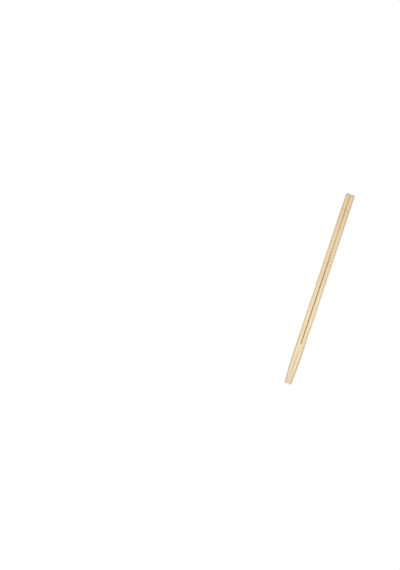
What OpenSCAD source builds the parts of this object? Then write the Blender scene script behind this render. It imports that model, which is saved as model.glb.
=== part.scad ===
// Disposable bamboo chopsticks, made from one flat strip of bamboo.
// The pair lies flat on the XY plane, with +Y towards the tips and +Z up.
// The sticks are still joined at the handle end, parted by a saw slit from
// the tips, and turned round at the tips. Lengths are in millimetres.

/* [Strip] */
// Length from the handle end to the tips
length = 230; // [190:1:260]
// Width across both sticks
pair_w = 10; // [9:0.1:12]
// Thickness of the strip
thickness = 4.8; // [4.2:0.1:6]
// Radius of the rounded long edges
edge_r = 1.4; // [0.5:0.1:1.6]

/* [Handle end] */
// Width across the squared-off handle end
butt_w = 7.5; // [6:0.1:8.8]
// Length over which the sides ease in to that width
ease_len = 38; // [12:1:40]

/* [Slit] */
// Length of the slit on the upper face, from the tips
slit_len = 183; // [130:1:190]
// Width of the slit at its closed end
kerf_root = 0.7; // [0.4:0.05:1]
// Gap between the tips, where the sticks have sprung together
kerf_tip = 0.2; // [0.1:0.05:0.4]
// Radius of the saw blade, whose arc the slit ends on
blade_r = 60; // [45:1:90]
// Height of the saw's arbor above the upper face
arbor_h = 18; // [8:1:30]

/* [Tips] */
// Diameter that each tip is turned to
tip_d = 5; // [4.5:0.05:5.8]
// Length of the turned round, its domed end included
round_len = 32; // [15:1:45]
// Length over which the round fades out into the flat faces
runout_len = 78; // [40:1:80]

/* [Hidden] */
$fn = 96;
// Facets in a full turn of the eased sides, whose radius is large
ease_fn = 1440;

// How far a cutting or keeping shape reaches past what it cuts or keeps
reach = 2;

tip_y = length / 2;
butt_y = -length / 2;
ease_y = butt_y + ease_len;
slit_y = tip_y - slit_len;
runout_y = tip_y - round_len - runout_len;

// The eased sides are arcs, tangent to the straight sides
ease_in = (pair_w - butt_w) / 2;
ease_r = (ease_len ^ 2 + ease_in ^ 2) / (2 * ease_in);
ease_angle = asin((ease_len + reach) / ease_r);

// Each stick's width and axis at the tips
stick_w = (pair_w - kerf_tip) / 2;
stick_x = (kerf_tip + stick_w) / 2;
tip_r = tip_d / 2;
// Radius that clears the corners of a stick's square section
corner_r = norm([stick_w, thickness]) / 2;

// Place of the saw's arbor, for a slit that ends at slit_y on the upper face
arbor_y = slit_y + sqrt(blade_r ^ 2 - arbor_h ^ 2);

// Width of the slit at a place along the strip
function kerf_at(y) = kerf_root + (kerf_tip - kerf_root) * (y - slit_y) / slit_len;

// Section of the strip's right-hand half, with its outer edges rounded
module half_section(left, right) {
    translate([left, 0])
        square([right - left - edge_r, thickness]);
    translate([left, edge_r])
        square([right - left, thickness - 2 * edge_r]);
    for (z = [edge_r, thickness - edge_r])
        translate([right - edge_r, z])
            circle(r = edge_r);
}

// Right-hand half of the handle end, swept about the centre of its eased side
module handle_half() {
    intersection() {
        translate([pair_w / 2 - ease_r, ease_y, 0])
            rotate_extrude(angle = -ease_angle, $fn = ease_fn)
                half_section(ease_r - pair_w, ease_r);
        translate([0, butt_y, -reach])
            cube([pair_w, ease_len + reach, thickness + 2 * reach]);
    }
}

// Right-hand half of the planed strip, before it is slit and turned
module strip_half() {
    handle_half();
    translate([0, tip_y, 0])
        rotate([90, 0, 0])
            linear_extrude(length - ease_len)
                half_section(0, pair_w / 2);
}

// The planed strip
module strip() {
    strip_half();
    mirror([1, 0, 0])
        strip_half();
}

// What the saw takes out: a narrow wedge that ends on the blade's arc
module slit() {
    from_y = slit_y - reach;
    to_y = tip_y + reach;
    from_x = kerf_at(from_y) / 2;
    to_x = kerf_at(to_y) / 2;
    intersection() {
        translate([0, 0, -reach])
            linear_extrude(thickness + 2 * reach)
                polygon([[-from_x, from_y], [from_x, from_y], [to_x, to_y], [-to_x, to_y]]);
        union() {
            translate([0, arbor_y, thickness + arbor_h])
                rotate([0, 90, 0])
                    cylinder(r = blade_r, h = 2 * reach, center = true);
            translate([-reach, arbor_y, -2 * reach])
                cube([2 * reach, to_y - arbor_y + reach, thickness + 4 * reach]);
        }
    }
}

// What turning leaves of the right-hand stick: a fading cone, the round and its dome
module turned_envelope() {
    dome_at = runout_len + round_len - tip_r;
    translate([stick_x, runout_y, thickness / 2])
        rotate([-90, 0, 0])
            rotate_extrude() {
                polygon([[0, -reach], [corner_r, -reach], [corner_r, 0],
                         [tip_r, runout_len], [tip_r, dome_at], [0, dome_at]]);
                translate([0, dome_at])
                    intersection() {
                        circle(r = tip_r);
                        square(tip_r);
                    }
            }
}

// The pair in one piece
module chopstick_pair() {
    color([0.93, 0.83, 0.64])
        intersection() {
            difference() {
                strip();
                slit();
            }
            union() {
                translate([-pair_w, butt_y - reach, -reach])
                    cube([2 * pair_w, runout_y - butt_y + reach, thickness + 2 * reach]);
                turned_envelope();
                mirror([1, 0, 0])
                    turned_envelope();
            }
        }
}

chopstick_pair();
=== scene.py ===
# %% [markdown]
# # Joined bamboo chopsticks
# These are disposable chopsticks, still joined, cut from one flat strip of bamboo. A saw parts the
# strip from the tips for four fifths of its length, and the tips are turned round. The diner snaps
# the joined end. The solid model has the true sizes but plain faces, so we load it, read its box,
# and lay a finer mesh over the same form. Sizes are in millimetres, as a maker would write them,
# and MM turns them into Blender's metres. Y runs from the handle end to the tips, X across the
# sticks and Z up from the table.

# %% Load the solid model
import math

import bpy
import numpy as np
from mathutils import Matrix, Vector


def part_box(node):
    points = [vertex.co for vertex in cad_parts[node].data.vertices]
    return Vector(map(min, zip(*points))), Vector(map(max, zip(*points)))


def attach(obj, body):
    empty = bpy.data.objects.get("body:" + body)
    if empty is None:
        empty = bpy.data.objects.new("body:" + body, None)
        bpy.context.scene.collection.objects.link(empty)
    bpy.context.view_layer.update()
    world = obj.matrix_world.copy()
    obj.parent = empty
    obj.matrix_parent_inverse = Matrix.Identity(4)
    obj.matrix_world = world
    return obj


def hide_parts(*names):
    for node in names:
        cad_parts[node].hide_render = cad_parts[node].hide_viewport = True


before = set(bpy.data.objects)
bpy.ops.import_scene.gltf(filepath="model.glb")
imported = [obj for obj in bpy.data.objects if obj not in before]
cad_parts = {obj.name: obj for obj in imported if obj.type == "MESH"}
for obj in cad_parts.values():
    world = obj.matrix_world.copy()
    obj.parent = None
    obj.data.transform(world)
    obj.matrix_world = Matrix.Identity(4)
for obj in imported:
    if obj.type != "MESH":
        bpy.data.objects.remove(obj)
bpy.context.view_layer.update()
NODE = "chopstick_pair"
MM = 0.001
low, high = ([value / MM for value in corner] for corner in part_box(NODE))
pair_w, length, thickness = (end - start for start, end in zip(low, high))
butt_y = low[1]
tip_y = high[1]
print(f"The solid is {pair_w:.2f} mm wide, {length:.2f} mm long and {thickness:.2f} mm thick.")

# %% [markdown]
# ## The planed strip
# A planer makes the strip flat and rounds its long edges. Over its last stretch the sides ease in to
# a narrower, square-cut handle end. A straight taper would be simpler, but the real sides bow, so
# each follows a circle that touches the straight side. The length of the easing and how far it comes
# in give that circle's radius.

# %% Width of the strip
edge_r = 1.4
butt_w = 7.5
ease_len = 38.0
ease_y = butt_y + ease_len
ease_in = (pair_w - butt_w) / 2
ease_r = (ease_len**2 + ease_in**2) / (2 * ease_in)


def half_width(y):
    """Half the strip's width at a place along it."""
    past = max(ease_y - y, 0)
    return pair_w / 2 - ease_r + math.sqrt(ease_r**2 - past**2)


print(f"The sides ease in to {2 * half_width(butt_y):.2f} mm, on a radius of {ease_r:.0f} mm.")

# %% [markdown]
# ## The slit
# The saw leaves two sticks that run side by side at first, a blade's width apart. Further on the
# bamboo springs, and they close up until they touch. A straight wedge could stand for that, but an
# even S between the two places looks like wood that bends.

# %% Width of the slit
slit_len = 183.0
kerf = 0.7
parallel_len = 76.0
touching_len = 40.0
tip_gap = 0.03
slit_y = tip_y - slit_len
parallel_y = slit_y + parallel_len
touch_y = tip_y - touching_len


def smooth(start, end, value):
    """0 before start, 1 after end, and an even S between them."""
    share = np.clip((value - start) / (end - start), 0, 1)
    return share * share * (3 - 2 * share)


def half_gap(y):
    """Half the slit's width at a place along the strip."""
    return (kerf + (tip_gap - kerf) * smooth(parallel_y, touch_y, y)) / 2


print(f"The slit starts {slit_y - butt_y:.1f} mm from the handle end, {kerf:.2f} mm wide.")

# %% [markdown]
# ## The section of one stick
# Cut across, a stick is a square with two generous round edges on its outer side and two along the
# slit that are barely broken. A bevelled cube has that section, but a loft of sections also follows
# the eased handle, the closing slit and the turned tips. So we write the section once, as a closed
# ring of points. These are the two strokes that it is drawn with.

# %% Strokes of a ring
def line(start, end, count):
    """Points from start towards end, with the end itself left out."""
    along = np.arange(count)[:, None] / count
    return np.array(start) + (np.array(end) - np.array(start)) * along


def arc(centre, radius, start, end, count):
    """Points round a centre from one angle towards another, with the last left out."""
    turn = np.radians(start + (end - start) * np.arange(count) / count)
    return np.array(centre) + radius * np.column_stack([np.cos(turn), np.sin(turn)])


print("A ring is drawn with lines and arcs.")

# %% [markdown]
# The ring starts at the slit's upper edge and runs over the top, the outer side and the underside,
# then up the slit's wall. Tumbling in a drum breaks the slit's edges, but hardly reaches its closed
# end, so their radius grows from there. The counts say how many points each stretch gets.

# %% One ring
FLAT, ARC, SIDE, NICK, WALL = 24, 12, 18, 3, 14
SKIN = 2 * FLAT + 2 * ARC + SIDE
RING = SKIN + 2 * NICK + WALL
nick_r = 0.34
nick_least = 0.05
nick_fade = 6.0


def section(y):
    """The ring of a stick at a place along it, as (x, z) points for the right-hand stick."""
    side = half_width(y)
    gap = half_gap(y)
    nick = nick_least + (nick_r - nick_least) * smooth(slit_y, slit_y + nick_fade, y)
    shoulder = side - edge_r
    inner = gap + nick
    return np.concatenate([
        line((inner, thickness), (shoulder, thickness), FLAT),
        arc((shoulder, thickness - edge_r), edge_r, 90, 0, ARC),
        line((side, thickness - edge_r), (side, edge_r), SIDE),
        arc((shoulder, edge_r), edge_r, 0, -90, ARC),
        line((shoulder, 0), (inner, 0), FLAT),
        arc((inner, nick), nick, -90, -180, NICK),
        line((gap, nick), (gap, thickness - nick), WALL),
        arc((inner, thickness - nick), nick, 180, 90, NICK),
    ])


print(f"A ring has {RING} points, {SKIN} of them on the planed skin.")

# %% [markdown]
# ## Turning the tips
# A lathe rounds each stick from its tip: first a dome, then a round, then a long cone that fades out
# where it clears the square's corners. Each stick turns about its own axis, which the width of the
# solid's slit at the tips sets. The cutter follows one outline, so all that we need is the radius
# that it leaves at each place along the stick.

# %% The lathe
kerf_tip = 0.2
stick_w = (pair_w - kerf_tip) / 2
stick_axis = np.array([(kerf_tip + stick_w) / 2, thickness / 2])
corner_r = math.hypot(stick_w, thickness) / 2
tip_r = 2.5
round_len = 32.0
runout_len = 78.0
runout_y = tip_y - round_len - runout_len
dome_y = tip_y - tip_r


def turned_radius(y):
    """What the lathe leaves at a place along the stick."""
    if y > dome_y:
        return math.sqrt(max(tip_r**2 - (y - dome_y) ** 2, 0))
    along = np.clip((y - runout_y) / runout_len, 0, 1)
    return corner_r + (tip_r - corner_r) * along


print(f"The lathe leaves {turned_radius(dome_y):.2f} mm of radius at the tips.")

# %% [markdown]
# Turning only takes wood away, so each point of a ring keeps the smaller of its own distance from
# the stick's axis and the lathe's radius. A boolean with a turned shape would leave a hard crease
# where the round meets the flats. A soft minimum wears that line away, as tumbling does.

# %% A turned ring
crease = 0.08
crease_fade = 32.0


def turned(ring, y):
    """A ring after the lathe."""
    if y <= runout_y:
        return ring
    spoke = ring - stick_axis
    reach = np.linalg.norm(spoke, axis=1)
    limit = turned_radius(y)
    wear = crease * smooth(runout_y, runout_y + crease_fade, y)
    kept = (reach + limit - np.hypot(reach - limit, wear)) / 2
    return stick_axis + spoke * (kept / reach)[:, None]


print(f"The line is worn down by up to {crease / 2:.2f} mm.")

# %% [markdown]
# ## Ridges of fibre
# Bamboo is bundles of stiff fibre in soft pith, all running along the stick. Planing tears the pith
# a little lower than the fibres, so the surface has fine ridges, long along the stick and about a
# millimetre apart across it. A displacement texture could raise them from a far denser mesh. A
# handful of slanted waves, drawn once from a seeded generator, moves the points that we have, and
# gives ridges that drift and fade as real ones do, the same at each run.

# %% Height of the ridges
WAVES = 18
ridge_pitch = (0.5, 1.9)
ridge_run = (90.0, 320.0)
ridge_h = 0.012
draw = np.random.default_rng(23)
wave_pitch = draw.uniform(*ridge_pitch, WAVES)
wave_heading = draw.uniform(0, math.pi, WAVES)
wave_run = draw.uniform(*ridge_run, WAVES) * draw.choice([-1, 1], WAVES)
wave_phase = draw.uniform(0, 2 * math.pi, WAVES)


def fibre(x, y, z):
    """Height of the fibre ridges at a ring's points."""
    across = np.multiply.outer(x, np.cos(wave_heading)) + np.multiply.outer(z, np.sin(wave_heading))
    turns = across / wave_pitch + y / wave_run
    return ridge_h * np.sin(2 * math.pi * turns + wave_phase).sum(axis=1) / math.sqrt(WAVES / 2)


print(f"{WAVES} waves make the ridges, about {ridge_h:.3f} mm high.")

# %% [markdown]
# ## The scar of the joint
# A culm of bamboo is closed by a joint at intervals, and one crosses the strip near its tips. Planing
# leaves a fine groove there, with a low ridge behind it. Colour alone could mark them, but light
# catches the real ones, so they are in the mesh too. Two waves let them stray from straight across:
# each is a reach in millimetres, then radians for each millimetre of X and of Z.

# %% Height of the scar
scar_from_tip = 19.6
ridge_from_tip = 26.5
scar_y = tip_y - scar_from_tip
ridge_y = tip_y - ridge_from_tip
scar_deep = 0.055
scar_half = 0.28
swell_h = 0.045
swell_half = 1.5
STRAYS = ((0.22, 1.1, 0.6), (0.10, 2.9, -1.7))


def scar(x, y, z):
    """Height of the joint at a ring's points: a fine groove, and a low ridge behind it."""
    stray = sum(reach * np.sin(by_x * x + by_z * z) for reach, by_x, by_z in STRAYS)
    groove = -scar_deep * np.exp(-(((y - scar_y - stray) / scar_half) ** 2))
    swell = swell_h * np.exp(-(((y - ridge_y - stray) / swell_half) ** 2))
    return groove + swell


print(f"The scar is {scar_deep:.3f} mm deep and its ridge {swell_h:.3f} mm high.")

# %% [markdown]
# ## Rows along the stick
# The rings could be spread evenly, but that would waste points. They lie close together where the
# form turns quickly, at the rim of the handle end, the closed end of the slit, the scar and the
# domes, and further apart where it only runs straight.

# %% Where the rings go
RIM_RINGS, DOME_RINGS = 5, 20
butt_r = 0.22
root_span = 6.0
scar_span = 1.6
plain_step = 1.5
root_step = 0.4
runout_step = 1.2
scar_step = 0.17
round_step = 0.7


def steps(start, end, pitch):
    """Places from start up to end, which is left out, no further apart than the pitch."""
    return list(np.linspace(start, end, math.ceil((end - start) / pitch), endpoint=False))


def quarter(count):
    """Angles from 0 up to a quarter turn, which is left out."""
    return np.linspace(0, math.pi / 2, count, endpoint=False)


rows = [butt_y + butt_r * (1 - math.cos(turn)) for turn in quarter(RIM_RINGS)]
rows += steps(butt_y + butt_r, slit_y - root_span, plain_step)
rows += steps(slit_y - root_span, slit_y, root_step)
root_row = len(rows)
rows += steps(slit_y, slit_y + root_span, root_step)
rows += steps(slit_y + root_span, runout_y, plain_step)
rows += steps(runout_y, ridge_y - 2 * scar_span, runout_step)
rows += steps(ridge_y - 2 * scar_span, scar_y + scar_span, scar_step)
rows += steps(scar_y + scar_span, dome_y, round_step)
rows += [dome_y + tip_r * math.sin(turn) for turn in quarter(DOME_RINGS)]
print(f"There are {len(rows)} rows, and the slit opens at row {root_row}.")

# %% [markdown]
# ## The closed end of the slit
# The saw is a disc that comes down from above, so the slit ends on the blade's arc and reaches
# further on the top than underneath. The solid has that arc cut out of it. Here the rings near the
# closed end lean to follow it, and stand up straight again a little way off.

# %% Lean of the rings
blade_r = 60.0
arbor_h = 18.0
arbor_y = slit_y + math.sqrt(blade_r**2 - arbor_h**2)


def lean(y, z):
    """How far the blade's arc moves a point that lies near the slit's closed end."""
    depth = arbor_h + thickness - z
    arc_y = arbor_y - np.sqrt(blade_r**2 - depth**2)
    near = 1 - smooth(0, root_span, abs(y - slit_y))
    return near * (arc_y - slit_y)


print(f"The slit starts {lean(slit_y, 0.0):.1f} mm later underneath than on top.")

# %% [markdown]
# ## Out of the wood
# The ridges, the scar and the rounded rim of the handle end all move a point straight in or out of
# the wood. Blender could give us normals once there is a mesh, but a ring's own neighbours tell the
# same. While the sticks are joined, the edges of the future slit lie on flat faces, and there the way
# out is straight up or down. Nothing may go below the table.

# %% Ways out, rim and table
def outward(ring, joined):
    """Directions out of the wood at a ring's points."""
    along = np.roll(ring, -1, axis=0) - np.roll(ring, 1, axis=0)
    out = np.column_stack([-along[:, 1], along[:, 0]])
    out /= np.linalg.norm(out, axis=1, keepdims=True)
    if joined:
        out[0] = (0, 1)
        out[SKIN] = (0, -1)
    return out


def rim_inset(y):
    """How far the rim of the handle end is rounded in."""
    past = max(butt_y + butt_r - y, 0)
    return butt_r - math.sqrt(butt_r**2 - past**2)


def settle(points):
    """Points with none below the table that the sticks lie on."""
    points[..., 2] = np.maximum(points[..., 2], 0)
    return points


print(f"The rim of the handle end is rounded by {rim_inset(butt_y):.2f} mm.")

# %% [markdown]
# ## The rings of each stick
# Now all of it comes together, ring by ring. The sticks are mirror images, apart from their fibres
# and from one tip that is a hair shorter, as on most pairs. The round tips also move in a little at
# their inner sides, so that they touch as sprung sticks do.

# %% Rings in space
close_in = 0.11
tip_lag = {1: 0.12, -1: 0.0}


def stick_rings(side):
    """All the rings of one stick; side is 1 for the right-hand one and -1 for the left."""
    rings = []
    for row, y in enumerate(rows):
        ring = turned(section(y), y)
        x = side * ring[:, 0]
        z = ring[:, 1]
        height = (fibre(x, y, z) + scar(x, y, z)) * (1 - smooth(dome_y, tip_y, y)) - rim_inset(y)
        ring = ring + outward(ring, row < root_row) * height[:, None]
        inner = 1 - smooth(0, 2 * stick_axis[0], ring[:, 0])
        out_x = ring[:, 0] - close_in * inner * smooth(parallel_y, touch_y, y)
        out_x = np.maximum(out_x, tip_gap / 2)
        along = y + lean(y, ring[:, 1]) - tip_lag[side] * smooth(ridge_y, tip_y, y)
        rings.append(np.column_stack([side * out_x, along, ring[:, 1]]))
    return settle(np.array(rings))


right_rings = stick_rings(1)
left_rings = stick_rings(-1)
print(f"Each stick has {right_rings.shape[0]} rings of {right_rings.shape[1]} points.")

# %% [markdown]
# ## One closed skin
# The real pair is one piece of wood, so the mesh is one watertight skin. Blender takes a mesh as a
# list of points and a list of faces that name them. We gather both as we go: a grid of points gives
# a patch of quads between its rows and columns. Each quad also notes where its corners lie on a flat
# map, along the stick in U and round it in V, so that fibres run straight across the map.

# %% Points and patches
points = []
faces = []
face_maps = []


def add_points(grid):
    """Adds a grid of points and returns their numbers in the same layout."""
    grid = np.asarray(grid, dtype=float)
    start = sum(len(block) for block in points)
    points.append(grid.reshape(-1, 3))
    return np.arange(start, start + grid[..., 0].size).reshape(grid.shape[:-1])


def add_patch(numbers, u, v, flip):
    """Adds the quads between a grid of point numbers, with each point's place on the map."""
    corners = ((0, 0), (0, 1), (1, 1), (1, 0))
    if flip:
        corners = corners[::-1]
    u, v = np.broadcast_arrays(u, v)
    rows_in, columns_in = (count - 1 for count in numbers.shape)
    for row in range(rows_in):
        for column in range(columns_in):
            at = [(row + down, column + over) for down, over in corners]
            faces.append([int(numbers[spot]) for spot in at])
            face_maps.append([(u[spot], v[spot]) for spot in at])


right_numbers = add_points(right_rings)
left_numbers = add_points(left_rings)
sticks = ((1, right_numbers), (-1, left_numbers))
print(f"{right_numbers.size + left_numbers.size} points lie on the rings.")

# %% [markdown]
# The planed skin runs the whole length, and the slit's walls only from its closed end. Half of the
# map's height belongs to each stick, and V counts the way round the ring there, so a skin and its
# wall lie side by side. The joined handle has no walls, which leaves room on the map for the pieces
# that follow.

# %% Skin and slit walls
MAP_MARGIN = 0.005
map_share = 0.5 - 2 * MAP_MARGIN
root_ring = right_rings[root_row]
strides = np.linalg.norm(np.diff(root_ring, axis=0, append=root_ring[:1]), axis=1)
around = np.concatenate([[0], np.cumsum(strides)]) / strides.sum()
map_v = {1: MAP_MARGIN + map_share * around, -1: 0.5 + MAP_MARGIN + map_share * around}
map_u = MAP_MARGIN + (1 - 2 * MAP_MARGIN) * (np.array(rows) - butt_y) / length

for side, numbers in sticks:
    add_patch(numbers[:, : SKIN + 1], map_u[:, None], map_v[side][: SKIN + 1], side < 0)
    wall = np.column_stack([numbers[root_row:, SKIN:], numbers[root_row:, :1]])
    add_patch(wall, map_u[root_row:, None], map_v[side][SKIN:], side < 0)
print(f"The skin and the walls have {len(faces)} quads.")

# %% [markdown]
# Before the slit, the sticks are one strip. Narrow bridges join their rings over the top and
# underneath, and find room on the map where the slit's walls will be further on.

# %% Bridges
BRIDGE = 4
BRIDGE_STEP_V = 0.004
joined = slice(0, root_row + 1)


def bridge(start, end):
    """The points between one stick's edge and the other's, in each row."""
    share = np.arange(1, BRIDGE)[:, None] / BRIDGE
    return start[:, None] + (end - start)[:, None] * share


def add_bridge(column, first_v, flip):
    """Joins the sticks along one column of their rings, and returns the bridge's point numbers."""
    between = add_points(bridge(left_rings[joined, column], right_rings[joined, column]))
    numbers = np.column_stack([left_numbers[joined, column], between, right_numbers[joined, column]])
    add_patch(numbers, map_u[joined, None], first_v + BRIDGE_STEP_V * np.arange(BRIDGE + 1), flip)
    return numbers


top_bridge = add_bridge(0, map_v[1][SKIN], False)
low_bridge = add_bridge(SKIN, map_v[-1][SKIN], True)
print(f"With the bridges there are {len(faces)} quads.")

# %% [markdown]
# The closed end of the slit is a small curved wall between the two sticks. Its sides are the first
# wall points of each stick, and its ends are the last rows of the bridges.

# %% Closed end of the slit
ROOT_U = (0.14, 0.19)
ROOT_CLEAR_V = 0.014
inside = slice(SKIN + 1, None)
between = add_points(bridge(left_rings[root_row, inside], right_rings[root_row, inside]))
root_wall = np.vstack([
    low_bridge[-1],
    np.column_stack([left_numbers[root_row, inside], between, right_numbers[root_row, inside]]),
    top_bridge[-1],
])
root_u = np.linspace(*ROOT_U, BRIDGE + 1)
root_first_v = map_v[1][SKIN] + BRIDGE * BRIDGE_STEP_V + ROOT_CLEAR_V
root_v = np.linspace(root_first_v, map_v[1][-1], len(root_wall))
add_patch(root_wall, root_u, root_v[:, None], True)
print(f"The slit's closed end has {root_wall.size} points.")

# %% [markdown]
# The handle end is sawn across, which leaves it flat but a little uneven. One face with many corners
# would close it. Rings that shrink towards its middle make room for the saw's waves, which fade out
# there, so that the last face is flat. The rings close up more in height than in width, because the
# end is wide and low.

# %% Sawn handle end
CAP_SHRINK = (0.9, 0.7, 0.45, 0.2)
cap_pinch = 0.55
saw_deep = 0.02
SAW_WAVE = (5.1, 3.7)
CAP_MAP_AT = (0.07, 0.02)
CAP_MAP_SIZE = (0.11, 0.1)
rim = np.concatenate([
    right_numbers[0, : SKIN + 1], low_bridge[0, 1:-1][::-1],
    left_numbers[0, SKIN::-1], top_bridge[0, 1:-1],
])
butt_middle = np.array([0, butt_y, thickness / 2])
rim_spoke = np.concatenate(points)[rim] - butt_middle
cap_rings = [rim]
for shrink in CAP_SHRINK:
    ring = butt_middle + rim_spoke * (1 - cap_pinch + cap_pinch * shrink, 1, shrink)
    wave = np.sin(SAW_WAVE[0] * ring[:, 0] + SAW_WAVE[1] * ring[:, 2])
    fade = (shrink - CAP_SHRINK[-1]) / (1 - CAP_SHRINK[-1])
    ring[:, 1] = butt_y + saw_deep * (1 + fade * wave)
    cap_rings.append(add_points(ring))
cap = np.array([np.append(ring, ring[0]) for ring in cap_rings])
cap_points = np.concatenate(points)[cap]
cap_u = CAP_MAP_AT[0] + CAP_MAP_SIZE[0] * cap_points[..., 0] / pair_w
cap_v = map_v[-1][SKIN] + CAP_MAP_AT[1] + CAP_MAP_SIZE[1] * cap_points[..., 2] / thickness
add_patch(cap, cap_u, cap_v, True)
faces.append([int(number) for number in cap[-1, :0:-1]])
face_maps.append(list(zip(cap_u[-1, :0:-1], cap_v[-1, :0:-1])))
print(f"The handle end has {len(cap_rings)} rings.")

# %% [markdown]
# Each tip ends in a point on its axis. A fan of small triangles runs from there to the last ring of
# the dome, and then the skin is whole.

# %% Poles of the domes
POLE_U = 0.998
for side, numbers in sticks:
    pole_at = (side * (stick_axis[0] - close_in / 2), tip_y - tip_lag[side], stick_axis[1])
    pole = int(add_points([pole_at])[0])
    for column in range(RING):
        edge = [int(numbers[-1, column]), int(numbers[-1, (column + 1) % RING])]
        edge_v = [map_v[side][column], map_v[side][column + 1]]
        spots = [(map_u[-1], edge_v[0]), (map_u[-1], edge_v[1]), (POLE_U, sum(edge_v) / 2)]
        faces.append([*edge, pole][:: side])
        face_maps.append(spots[:: side])
print(f"Closed, the piece has {len(faces)} faces.")

# %% [markdown]
# ## Handing the skin to Blender
# The rings of the joined handle hold wall points that no face uses, so those drop out first. Smooth
# shading makes the fine quads look like one surface. Edges that turn by more than the limit stay
# crisp: those round the slit's closed end. The flat map goes in as the UV map for baking.

# %% Make the mesh
SHARP_DEGREES = 50
all_points = np.concatenate(points)
used = np.unique(np.concatenate([np.array(face) for face in faces]))
renumber = np.full(len(all_points), -1)
renumber[used] = np.arange(len(used))
corners = [[int(renumber[number]) for number in face] for face in faces]
mesh = bpy.data.meshes.new("bamboo_pair")
mesh.from_pydata((all_points[used] * MM).tolist(), [], corners)
layer = mesh.uv_layers.new(name="OFBake")
layer.uv.foreach_set("vector", np.concatenate([np.array(spots) for spots in face_maps]).ravel())
mesh.shade_smooth()
mesh.set_sharp_from_angle(angle=math.radians(SHARP_DEGREES))
mesh.validate()
bamboo_pair = bpy.data.objects.new("bamboo_pair", mesh)
bpy.context.scene.collection.objects.link(bamboo_pair)
triangles = sum(len(face.vertices) - 2 for face in mesh.polygons)
print(f"The piece has {len(mesh.vertices)} points and {triangles} triangles.")

# %% [markdown]
# ## Writing shaders as sums
# A shader is a net of nodes, and long sums are hard to read as boxes and noodles. This small class
# wraps one socket so that Python's own operators add the Math nodes. Every other node comes from
# its one method, which sets the node's settings first and then feeds its sockets.

# %% Wires
class Wire:
    """One output socket of the node tree in hand, for use in Python expressions."""

    tree = None

    def __init__(self, socket):
        self.socket = socket

    @classmethod
    def node(cls, kind, settings=None, sockets=None, output=0):
        """Adds a node, sets it up, feeds its sockets, and returns one of its outputs."""
        made = cls.tree.nodes.new("ShaderNode" + kind)
        for name, value in (settings or {}).items():
            setattr(made, name, value)
        for key, value in (sockets or {}).items():
            if isinstance(value, Wire):
                cls.tree.links.new(value.socket, made.inputs[key])
            else:
                made.inputs[key].default_value = value
        return cls(made.outputs[output]) if len(made.outputs) else None

    @staticmethod
    def maths(operation, first, second=0.0):
        """One Math node."""
        return Wire.node("Math", {"operation": operation}, {0: first, 1: second})

    def also(self, output):
        """Another output of the same node."""
        return Wire(self.socket.node.outputs[output])

    def __add__(self, other):
        return Wire.maths("ADD", self, other)

    __radd__ = __add__

    def __sub__(self, other):
        return Wire.maths("SUBTRACT", self, other)

    def __rsub__(self, other):
        return Wire.maths("SUBTRACT", other, self)

    def __mul__(self, other):
        return Wire.maths("MULTIPLY", self, other)

    __rmul__ = __mul__

    def __abs__(self):
        return Wire.maths("ABSOLUTE", self)

    def at_least(self, other):
        """The larger of two values."""
        return Wire.maths("MAXIMUM", self, other)

    def rise(self, start, end):
        """0 up to start, 1 from end on, and an even S between them; end may be the lower one."""
        return Wire.node(
            "MapRange", {"interpolation_type": "SMOOTHSTEP"},
            {"Value": self, "From Min": start, "From Max": end},
        )


print("Python's operators now add Math nodes.")

# %% [markdown]
# A few words for what every finish here needs: an empty material, its one surface, a colour between
# two others, a point's place, and masks. A mask is 1 where a mark lies and 0 elsewhere, with soft
# borders, because nothing on wood ends at a ruled line. A Mix node has sockets for several kinds of
# value, so its colours go by number.

# %% Words for finishes
MIX_SHARE, MIX_FIRST, MIX_SECOND = 0, 6, 7
MIX_COLOUR = 2


def new_material(name):
    """An empty material, whose tree the next wires go into."""
    material = bpy.data.materials.new(name)
    material.use_nodes = True
    material.node_tree.nodes.clear()
    Wire.tree = material.node_tree
    return material


def surface(finish):
    """One principled surface with this finish, as the material's output."""
    shader = Wire.node("BsdfPrincipled", {}, finish)
    Wire.node("OutputMaterial", {}, {"Surface": shader})


def mixed(share, first, second):
    """A colour between two others."""
    sockets = {MIX_SHARE: share, MIX_FIRST: first, MIX_SECOND: second}
    return Wire.node("Mix", {"data_type": "RGBA"}, sockets, output=MIX_COLOUR)


def place_in_mm():
    """A point's place on its own object, in millimetres."""
    metres = Wire.node("TexCoord", output="Object")
    return Wire.node("VectorMath", {"operation": "SCALE"}, {0: metres, "Scale": 1 / MM})


def split(vector):
    """The three values of a vector."""
    first = Wire.node("SeparateXYZ", {}, {"Vector": vector})
    return first, first.also("Y"), first.also("Z")


def band(value, core, edge):
    """1 where a value is within core of zero, and 0 where it is past edge."""
    return abs(value).rise(edge, core)


def stretch(value, start, full, ebb, end):
    """1 where a value is from full to ebb, and 0 before start and after end."""
    return value.rise(start, full) * value.rise(end, ebb)


print("The words for finishes are ready.")

# %% [markdown]
# ## Bamboo: grain
# Bamboo has no rings. It is pale pith with brown bundles of fibre that run along the stick. A flat
# picture of streaks would smear over the sawn end. A texture that fills space is cut as the wood is,
# and shows streaks on the faces and dots on the end. So noise and Voronoi cells are stretched far
# along Y, and a face that runs through the core of a cell shows a bundle as a streak.

# %% Grain
bamboo = new_material("bamboo")
place = place_in_mm()
x, y, z = split(place)
from_butt = y - butt_y
weakest_bundle = 0.15


def grain(where, across, along):
    """Places counted in grains that are so many millimetres across and along the stick."""
    scale = (1 / across, 1 / along, 1 / across)
    return Wire.node("VectorMath", {"operation": "MULTIPLY"}, {0: where, 1: scale})


def streaks(where, across, along, detail=1.0):
    """Soft streaks along the stick, from 0 to 1 and mostly near one half."""
    sockets = {"Vector": grain(where, across, along), "Scale": 1.0, "Detail": detail}
    return Wire.node("TexNoise", {}, sockets)


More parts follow.
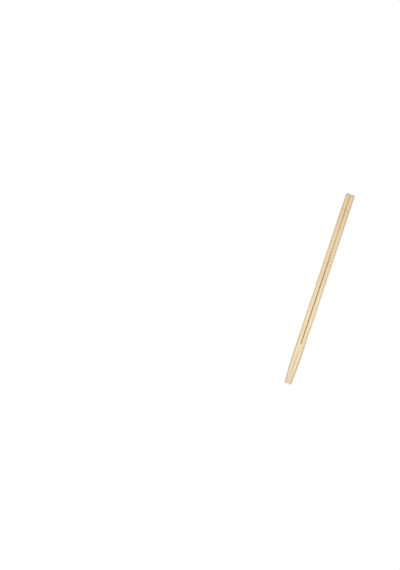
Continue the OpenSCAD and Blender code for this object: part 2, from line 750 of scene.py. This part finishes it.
def bundles(where, across, along, core, edge):
    """How far a point is inside a bundle of fibre, from 0 to 1, with some bundles weaker."""
    cells = Wire.node("TexVoronoi", {}, {"Vector": grain(where, across, along), "Scale": 1.0})
    weight = Wire.node("SeparateColor", {}, {"Color": cells.also("Color")})
    return cells.rise(edge, core) * (weakest_bundle + (1 - weakest_bundle) * weight)


print("The grain runs along Y.")

# %% [markdown]
# Real bundles wander a little, so the place that they are looked up at is bent by broad noise. There
# are three sorts: coarse ones, dense ones that crowd towards the culm's skin, here the upper face,
# and thin dashes. Hairs and bands are the finest and the broadest changes of the pith, and swing
# about zero.

# %% Fibres
NOISE_MIDDLE = 0.5
drift_by = 1.4
pith_z, skin_z = 0.5, 4.5
coarse_share, dense_share, dash_share = 0.75, 0.40, 0.80
crowd_share = 0.35
drift = streaks(place, across=8.0, along=70.0).also("Color")
bent = Wire.node("VectorMath", {"operation": "MULTIPLY_ADD"}, {
    0: drift, 1: (drift_by, 0, drift_by), 2: place,
})
coarse = bundles(bent, across=1.05, along=70.0, core=0.10, edge=0.34)
dense = bundles(bent, across=0.46, along=38.0, core=0.13, edge=0.42)
dashes = bundles(bent, across=0.36, along=90.0, core=0.16, edge=0.31)
crowding = crowd_share * z.rise(pith_z, skin_z)
fibres = coarse * (coarse_share - crowding) + dense * (dense_share + crowding) + dash_share * dashes
hairs = streaks(bent, across=0.15, along=26.0, detail=2.0) - NOISE_MIDDLE
bands = streaks(bent, across=2.4, along=160.0, detail=2.0) - NOISE_MIDDLE
print(f"The fibres take {len(Wire.tree.nodes)} nodes.")

# %% [markdown]
# ## Bamboo: pith and bundles
# The ground of the colour is pale pith, honeyed along some bands and hairs, with the brown bundles
# over it. One colour ramp could do it, but two mixes keep the pith and the bundles apart, so that
# each can be set by eye.

# %% Pith and bundles
PITH = (0.865, 0.69, 0.437, 1)
HONEY = (0.64, 0.46, 0.255, 1)
BUNDLE = (0.52, 0.33, 0.14, 1)
honey_least, honey_by_band, honey_by_hair = 0.048, 0.80, 0.55
bundle_share = 0.60
tone = mixed(honey_least + honey_by_band * bands + honey_by_hair * hairs, PITH, HONEY)
tone = mixed(bundle_share * fibres, tone, BUNDLE)
print("The pith and its bundles are coloured.")

# %% [markdown]
# ## Bamboo: from handle to tips
# The strip is palest at the handle and grows tanner towards the tips, which are nearer the culm's
# joint, with one tanner patch on the way. Such slow changes follow the length and need no texture.
# The runs are in millimetres from the handle end.

# %% Tan towards the tips
tan_run = (65, 225)
tan_share, tan_by_band = 0.46, 0.50
patch_run = (110, 133, 143, 163)
patch_share = 0.12
towards_tips = from_butt.rise(*tan_run)
tan_patch = stretch(from_butt, *patch_run)
tanned = towards_tips * (tan_share + tan_by_band * bands) + patch_share * tan_patch
tone = mixed(tanned, tone, HONEY)
print(f"The tan starts {tan_run[0]} mm from the handle end.")

# %% [markdown]
# ## Bamboo: the handle
# A honey heart streak lies along the middle of the handle, a little to the left, between two pale
# flanks. They end raggedly, hair by hair, so their length is read off a ruler that the hairs and the
# bands push to and fro. The last stretch before the sawn end is honeyed all over.

# %% Heart and flanks
PALE = (0.96, 0.79, 0.49, 1)
fray_by_hair, fray_by_band = 24, 40
flank_x = 2.3
flank_run = (7, 18, 35, 53)
flank_share = 0.60
heart_x = -0.3
heart_run = (2, 17, 33, 47)
heart_share, heart_by_band = 0.70, 0.90
honey_end_run = (17, 0)
honey_end_share = 0.35
ragged = from_butt + fray_by_hair * hairs + fray_by_band * bands
flanks = band(abs(x) - flank_x, core=0.2, edge=1.1) * stretch(ragged, *flank_run)
heart = band(x - heart_x, core=0.5, edge=2.0) * stretch(ragged, *heart_run)
tone = mixed(flank_share * flanks, tone, PALE)
honeyed = heart * (heart_share + heart_by_band * bands)
honeyed = honeyed + honey_end_share * from_butt.rise(*honey_end_run)
tone = mixed(honeyed, tone, HONEY)
print("The handle has its heart streak.")

# %% [markdown]
# ## Bamboo: painted shade on the sides
# The rounded sides are painted greyer and darker, as painted shade where they turn away from the
# light overhead, most of all at the handle. A darker streak just inside the handle's right side is
# painted shade of the side turned from the light. A mask in X alone would run off the edge where the
# sides ease in, so these count from the eased side.

# %% Painted shade on the sides
SHADE_OLIVE = (0.56, 0.465, 0.31, 1)
side_shade_core, side_shade_edge = 1.0, 2.3
side_shade_share, side_shade_at_handle = 0.28, 0.30
handle_run = (75, 40)
right_shade_from_side = (0.4, 1.0, 1.6, 2.1)
right_shade_x = (1.0, 2.0)
right_shade_run = (7, 17, 35, 47)
right_shade_share = 0.42
eased = (ease_y - y).at_least(0) * (1 / ease_len)
from_side = pair_w / 2 - ease_in * eased * eased - abs(x)
# Painted shade: the rounded sides darker where they turn from the light.
painted_side_shade = from_side.rise(side_shade_edge, side_shade_core)
painted_side_shade = painted_side_shade * (side_shade_share + side_shade_at_handle * from_butt.rise(*handle_run))
# Painted shade: a darker streak just inside the handle's right side.
right_side_shade = stretch(from_side, *right_shade_from_side) * x.rise(*right_shade_x) * stretch(ragged, *right_shade_run)
tone = mixed(painted_side_shade + right_shade_share * right_side_shade, tone, SHADE_OLIVE)
print("The sides are burnished.")

# %% [markdown]
# ## Bamboo: painted shade in the valley between the tips
# Where the round tips meet, the valley between them is painted tanner, as painted shade. The form
# shades the valley by itself, so the painted shade only needs a touch.

# %% Painted shade in the valley
VALLEY_SHADE = (0.52, 0.335, 0.135, 1)
valley_shade_run = (120, 175)
valley_shade_share = 0.09
# Painted shade: the valley between the tips is tinted darker and tanner.
painted_valley_shade = band(x, core=0.5, edge=2.1) * from_butt.rise(*valley_shade_run)
tone = mixed(valley_shade_share * painted_valley_shade, tone, VALLEY_SHADE)
print("The valley is a little tanner.")

# %% [markdown]
# ## Bamboo: the joint's scar
# The groove of the scar holds a thin brown line round both sticks, and the planed ridge behind it a
# fainter one. Drawn as rings they would look painted on, so noise makes them wobble, and breaks them
# into darker and paler stretches.

# %% Scar lines
SCAR_TONE = (0.46, 0.29, 0.125, 1)
wobble_by = 0.9
patchy_rise = (0.30, 0.66)
scar_least = 0.40
ridge_share = 0.62
wobble = wobble_by * (streaks(place, across=1.5, along=8.0) - NOISE_MIDDLE)
patchy = streaks(place, across=0.7, along=2.5, detail=2.0).rise(*patchy_rise)
scar_line = band(y + wobble - scar_y, core=0.10, edge=0.55) * (scar_least + (1 - scar_least) * patchy)
ridge_line = band(y + wobble - ridge_y, core=0.15, edge=1.00) * patchy
tone = mixed(scar_line + ridge_share * ridge_line, tone, SCAR_TONE)
print(f"The scar lines lie {scar_from_tip} mm and {ridge_from_tip} mm from the tips.")

# %% [markdown]
# ## Bamboo: the slit's edges, scorched and painted shade
# The saw frays the slit's edges and browns them by its heat. The same brown, centred a little to
# the left, is partly painted shade that darkens the slit's line. Near the tips the edges have been
# turned away, and almost none of the brown is left. A ruled border would look drawn, so hairs push
# it to and fro, which is the fraying.

# %% Scorched slit, partly painted shade
SCORCH_AND_SHADE = (0.66, 0.41, 0.06, 1)
slit_at = slit_y - butt_y
slit_soft = 0.5
brown_x = -0.16
brown_core, brown_edge = 0.42, 0.96
brown_fray = 0.5
scorch_and_shade_share, brown_lost = 0.62, 0.60
turned_run = (143, 170)
frayed = abs(x - brown_x) + brown_fray * hairs
# Partly saw scorch and partly painted shade darkening the slit's line.
slit_scorch_and_shade = frayed.rise(brown_edge, brown_core) * from_butt.rise(slit_at, slit_at + slit_soft)
tone = mixed(slit_scorch_and_shade * (scorch_and_shade_share - brown_lost * from_butt.rise(*turned_run)), tone, SCORCH_AND_SHADE)
print(f"The slit is browned from {slit_at:.0f} mm on.")

# %% [markdown]
# ## Bamboo: end grain, and painted shade on the domes
# The sawn handle end and the domed tips cut across the fibres. End grain drinks in dirt, so the
# bundles show as brown dots on the sawn end. The ends of the domes are painted greyer, as painted
# shade where they turn away from the light.

# %% End grain
END_TONE = (0.46, 0.30, 0.12, 1)
sawn_run = (0.12, 0.05)
sawn_least, sawn_by_fibre = 0.08, 0.62
dome_shade_run = (length - 6.5, length - 1.5)
dome_shade_share = 0.45
sawn_end = from_butt.rise(*sawn_run) * (sawn_least + sawn_by_fibre * fibres)
tone = mixed(sawn_end, tone, END_TONE)
# Painted shade: the ends of the domes darker and greyer.
tone = mixed(dome_shade_share * from_butt.rise(*dome_shade_run), tone, SHADE_OLIVE)
print(f"The marks bring the bamboo to {len(Wire.tree.nodes)} nodes.")

# %% [markdown]
# ## Bamboo: finish
# Cheap bamboo is only tumbled, never varnished, so it is nearly matt. The dense bundles polish up
# more than the pith, and stand about a hundredth of a millimetre proud of it. That is finer than the
# mesh, so a bump carries it.

# %% Finish
relief_h = 0.02
relief_by_fibre, relief_by_hair = 0.6, 0.4
rough, rough_by_fibre, rough_by_hair = 0.58, -0.14, 0.12
relief = Wire.node("Bump", {}, {
    "Height": relief_by_fibre * fibres + relief_by_hair * hairs,
    "Distance": relief_h * MM, "Strength": 0.8,
})
surface({
    "Base Color": tone, "Roughness": rough + rough_by_fibre * fibres + rough_by_hair * hairs,
    "Normal": relief, "Specular IOR Level": 0.35,
})
mesh.materials.append(bamboo)
print("The bamboo is matt, with a soft sheen on its fibres.")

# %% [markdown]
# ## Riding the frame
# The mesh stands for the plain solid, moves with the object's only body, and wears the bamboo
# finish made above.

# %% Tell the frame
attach(bamboo_pair, "root")
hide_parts(NODE)
print("The mesh replaces the plain solid.")

# %% [markdown]
# ## Table
# The sticks lie on pure white. A table lit up to white would throw that light at their sides and
# swallow their shadow. So this one is a pale sheet, lifted to white only for the rays that show it,
# to the camera or in mirrors and glass. Under the slit a tenth of the lift is left, because the slit
# would glow with all of it.

# %% Lay the table
table_half = 4000.0
corner_signs = ((-1, -1), (1, -1), (1, 1), (-1, 1))
sheet = bpy.data.meshes.new("table")
sheet_corners = [(a * table_half * MM, b * table_half * MM, 0) for a, b in corner_signs]
sheet.from_pydata(sheet_corners, [], [(0, 1, 2, 3)])
table = bpy.data.objects.new("table", sheet)
bpy.context.scene.collection.objects.link(table)
print(f"The table is {2 * table_half * MM:.0f} m wide.")

# %% [markdown]
# The lift is an emission, which a mask switches on for the rays that show the table. The place under
# the slit is found as the marks on the bamboo are, because both share one origin.

# %% Finish of the table
TABLE_PALE = (0.42, 0.42, 0.42, 1)
TABLE_LIFT = (0.57, 0.57, 0.57, 1)
UNLIT = (0, 0, 0, 1)
lift_lost = 0.90
under_core, under_edge = 0.6, 1.2
under_run = (slit_y - 4, slit_y - 2, tip_y - 8, tip_y - 4)


def seen_directly():
    """1 for the rays that show a background, and 0 for those that light the object."""
    path = Wire.node("LightPath", output="Is Camera Ray")
    return path + path.also("Is Glossy Ray") + path.also("Is Transmission Ray")


table_white = new_material("table_white")
table_x, table_y, _ = split(place_in_mm())
under_slit = band(table_x, under_core, under_edge) * stretch(table_y, *under_run)
lift = seen_directly() * (1 - lift_lost * under_slit)
surface({
    "Base Color": TABLE_PALE, "Roughness": 0.9, "Specular IOR Level": 0.0,
    "Emission Color": mixed(lift, UNLIT, TABLE_LIFT), "Emission Strength": 1.0,
})
sheet.materials.append(table_white)
print("The table is pale, and white to the camera.")

# %% [markdown]
# ## Light
# The light of the photograph comes from nearly straight above and is very soft: the flats are bright,
# and the rounded edges and sides a little darker. A large lamp could give it, but then its distance
# would matter. A sun with a wide angle is as soft and the same everywhere, and a grey room fills the
# sides. Together they light a flat face at about the level at which a colour renders as written.

# %% Room and soft light
ROOM = (0.28, 0.28, 0.28, 1)
WHITE = (1, 1, 1, 1)
soft_level = 0.78
soft_angle = 70
soft_tilt = (-4, -3, 0)
world = bpy.data.worlds.new("room")
world.use_nodes = True
world.node_tree.nodes.clear()
Wire.tree = world.node_tree
room_light = {"Color": mixed(seen_directly(), ROOM, WHITE), "Strength": 1.0}
Wire.node("OutputWorld", {}, {"Surface": Wire.node("Background", {}, room_light)})
bpy.context.scene.world = world

sky_light = bpy.data.lights.new("soft_light", "SUN")
sky_light.energy = soft_level * math.pi
sky_light.angle = math.radians(soft_angle)
soft_light = bpy.data.objects.new("soft_light", sky_light)
soft_light.rotation_euler = [math.radians(angle) for angle in soft_tilt]
bpy.context.scene.collection.objects.link(soft_light)
print("A soft overhead light and a grey room light the sticks.")

# %% [markdown]
# ## Camera
# The photograph looks straight down. Two of its points, the middle of the handle end and the middle
# of the tips, place the sticks in its frame: they give the scale, the tilt and how far the sticks lie
# from the picture's centre. A camera close by would show the sticks' sides, so a long lens looks from
# well above, and keeps the view as flat as the photograph's.

# %% Where the camera aims
PHOTO_W, PHOTO_H = 400, 570
butt_px = Vector((287.8, 383.2))
tips_px = Vector((350.76, 194.05))
along_px = tips_px - butt_px
mm_per_px = length / along_px.length
tilt = math.atan2(along_px.x, -along_px.y)
picture_right = Vector((math.cos(tilt), math.sin(tilt), 0))
picture_up = Vector((-math.sin(tilt), math.cos(tilt), 0))
off_centre = ((butt_px + tips_px) / 2 - Vector((PHOTO_W, PHOTO_H)) / 2) * mm_per_px
aim = Vector((0, 0, thickness / 2)) - picture_right * off_centre.x + picture_up * off_centre.y
print(f"A pixel shows {mm_per_px:.3f} mm, and the sticks are tilted by {math.degrees(tilt):.1f} degrees.")

# %% [markdown]
# The sensor's width counts along the picture's longer side, its height. With the camera's height
# chosen, the lens follows from how much of the table that side has to show.

# %% Set up the camera
camera_h = 4000.0
lens = bpy.data.cameras.new("camera")
lens.sensor_width = 36
lens.lens = lens.sensor_width * camera_h / (PHOTO_H * mm_per_px)
camera = bpy.data.objects.new("camera", lens)
facing = Matrix((picture_right, picture_up, (0, 0, 1))).transposed()
camera_at = (aim + Vector((0, 0, camera_h))) * MM
camera.matrix_world = Matrix.Translation(camera_at) @ facing.to_4x4()
bpy.context.scene.collection.objects.link(camera)
bpy.context.scene.camera = camera
bpy.context.scene.view_settings.view_transform = "Standard"
print(f"The lens is {lens.lens:.1f} mm long.")
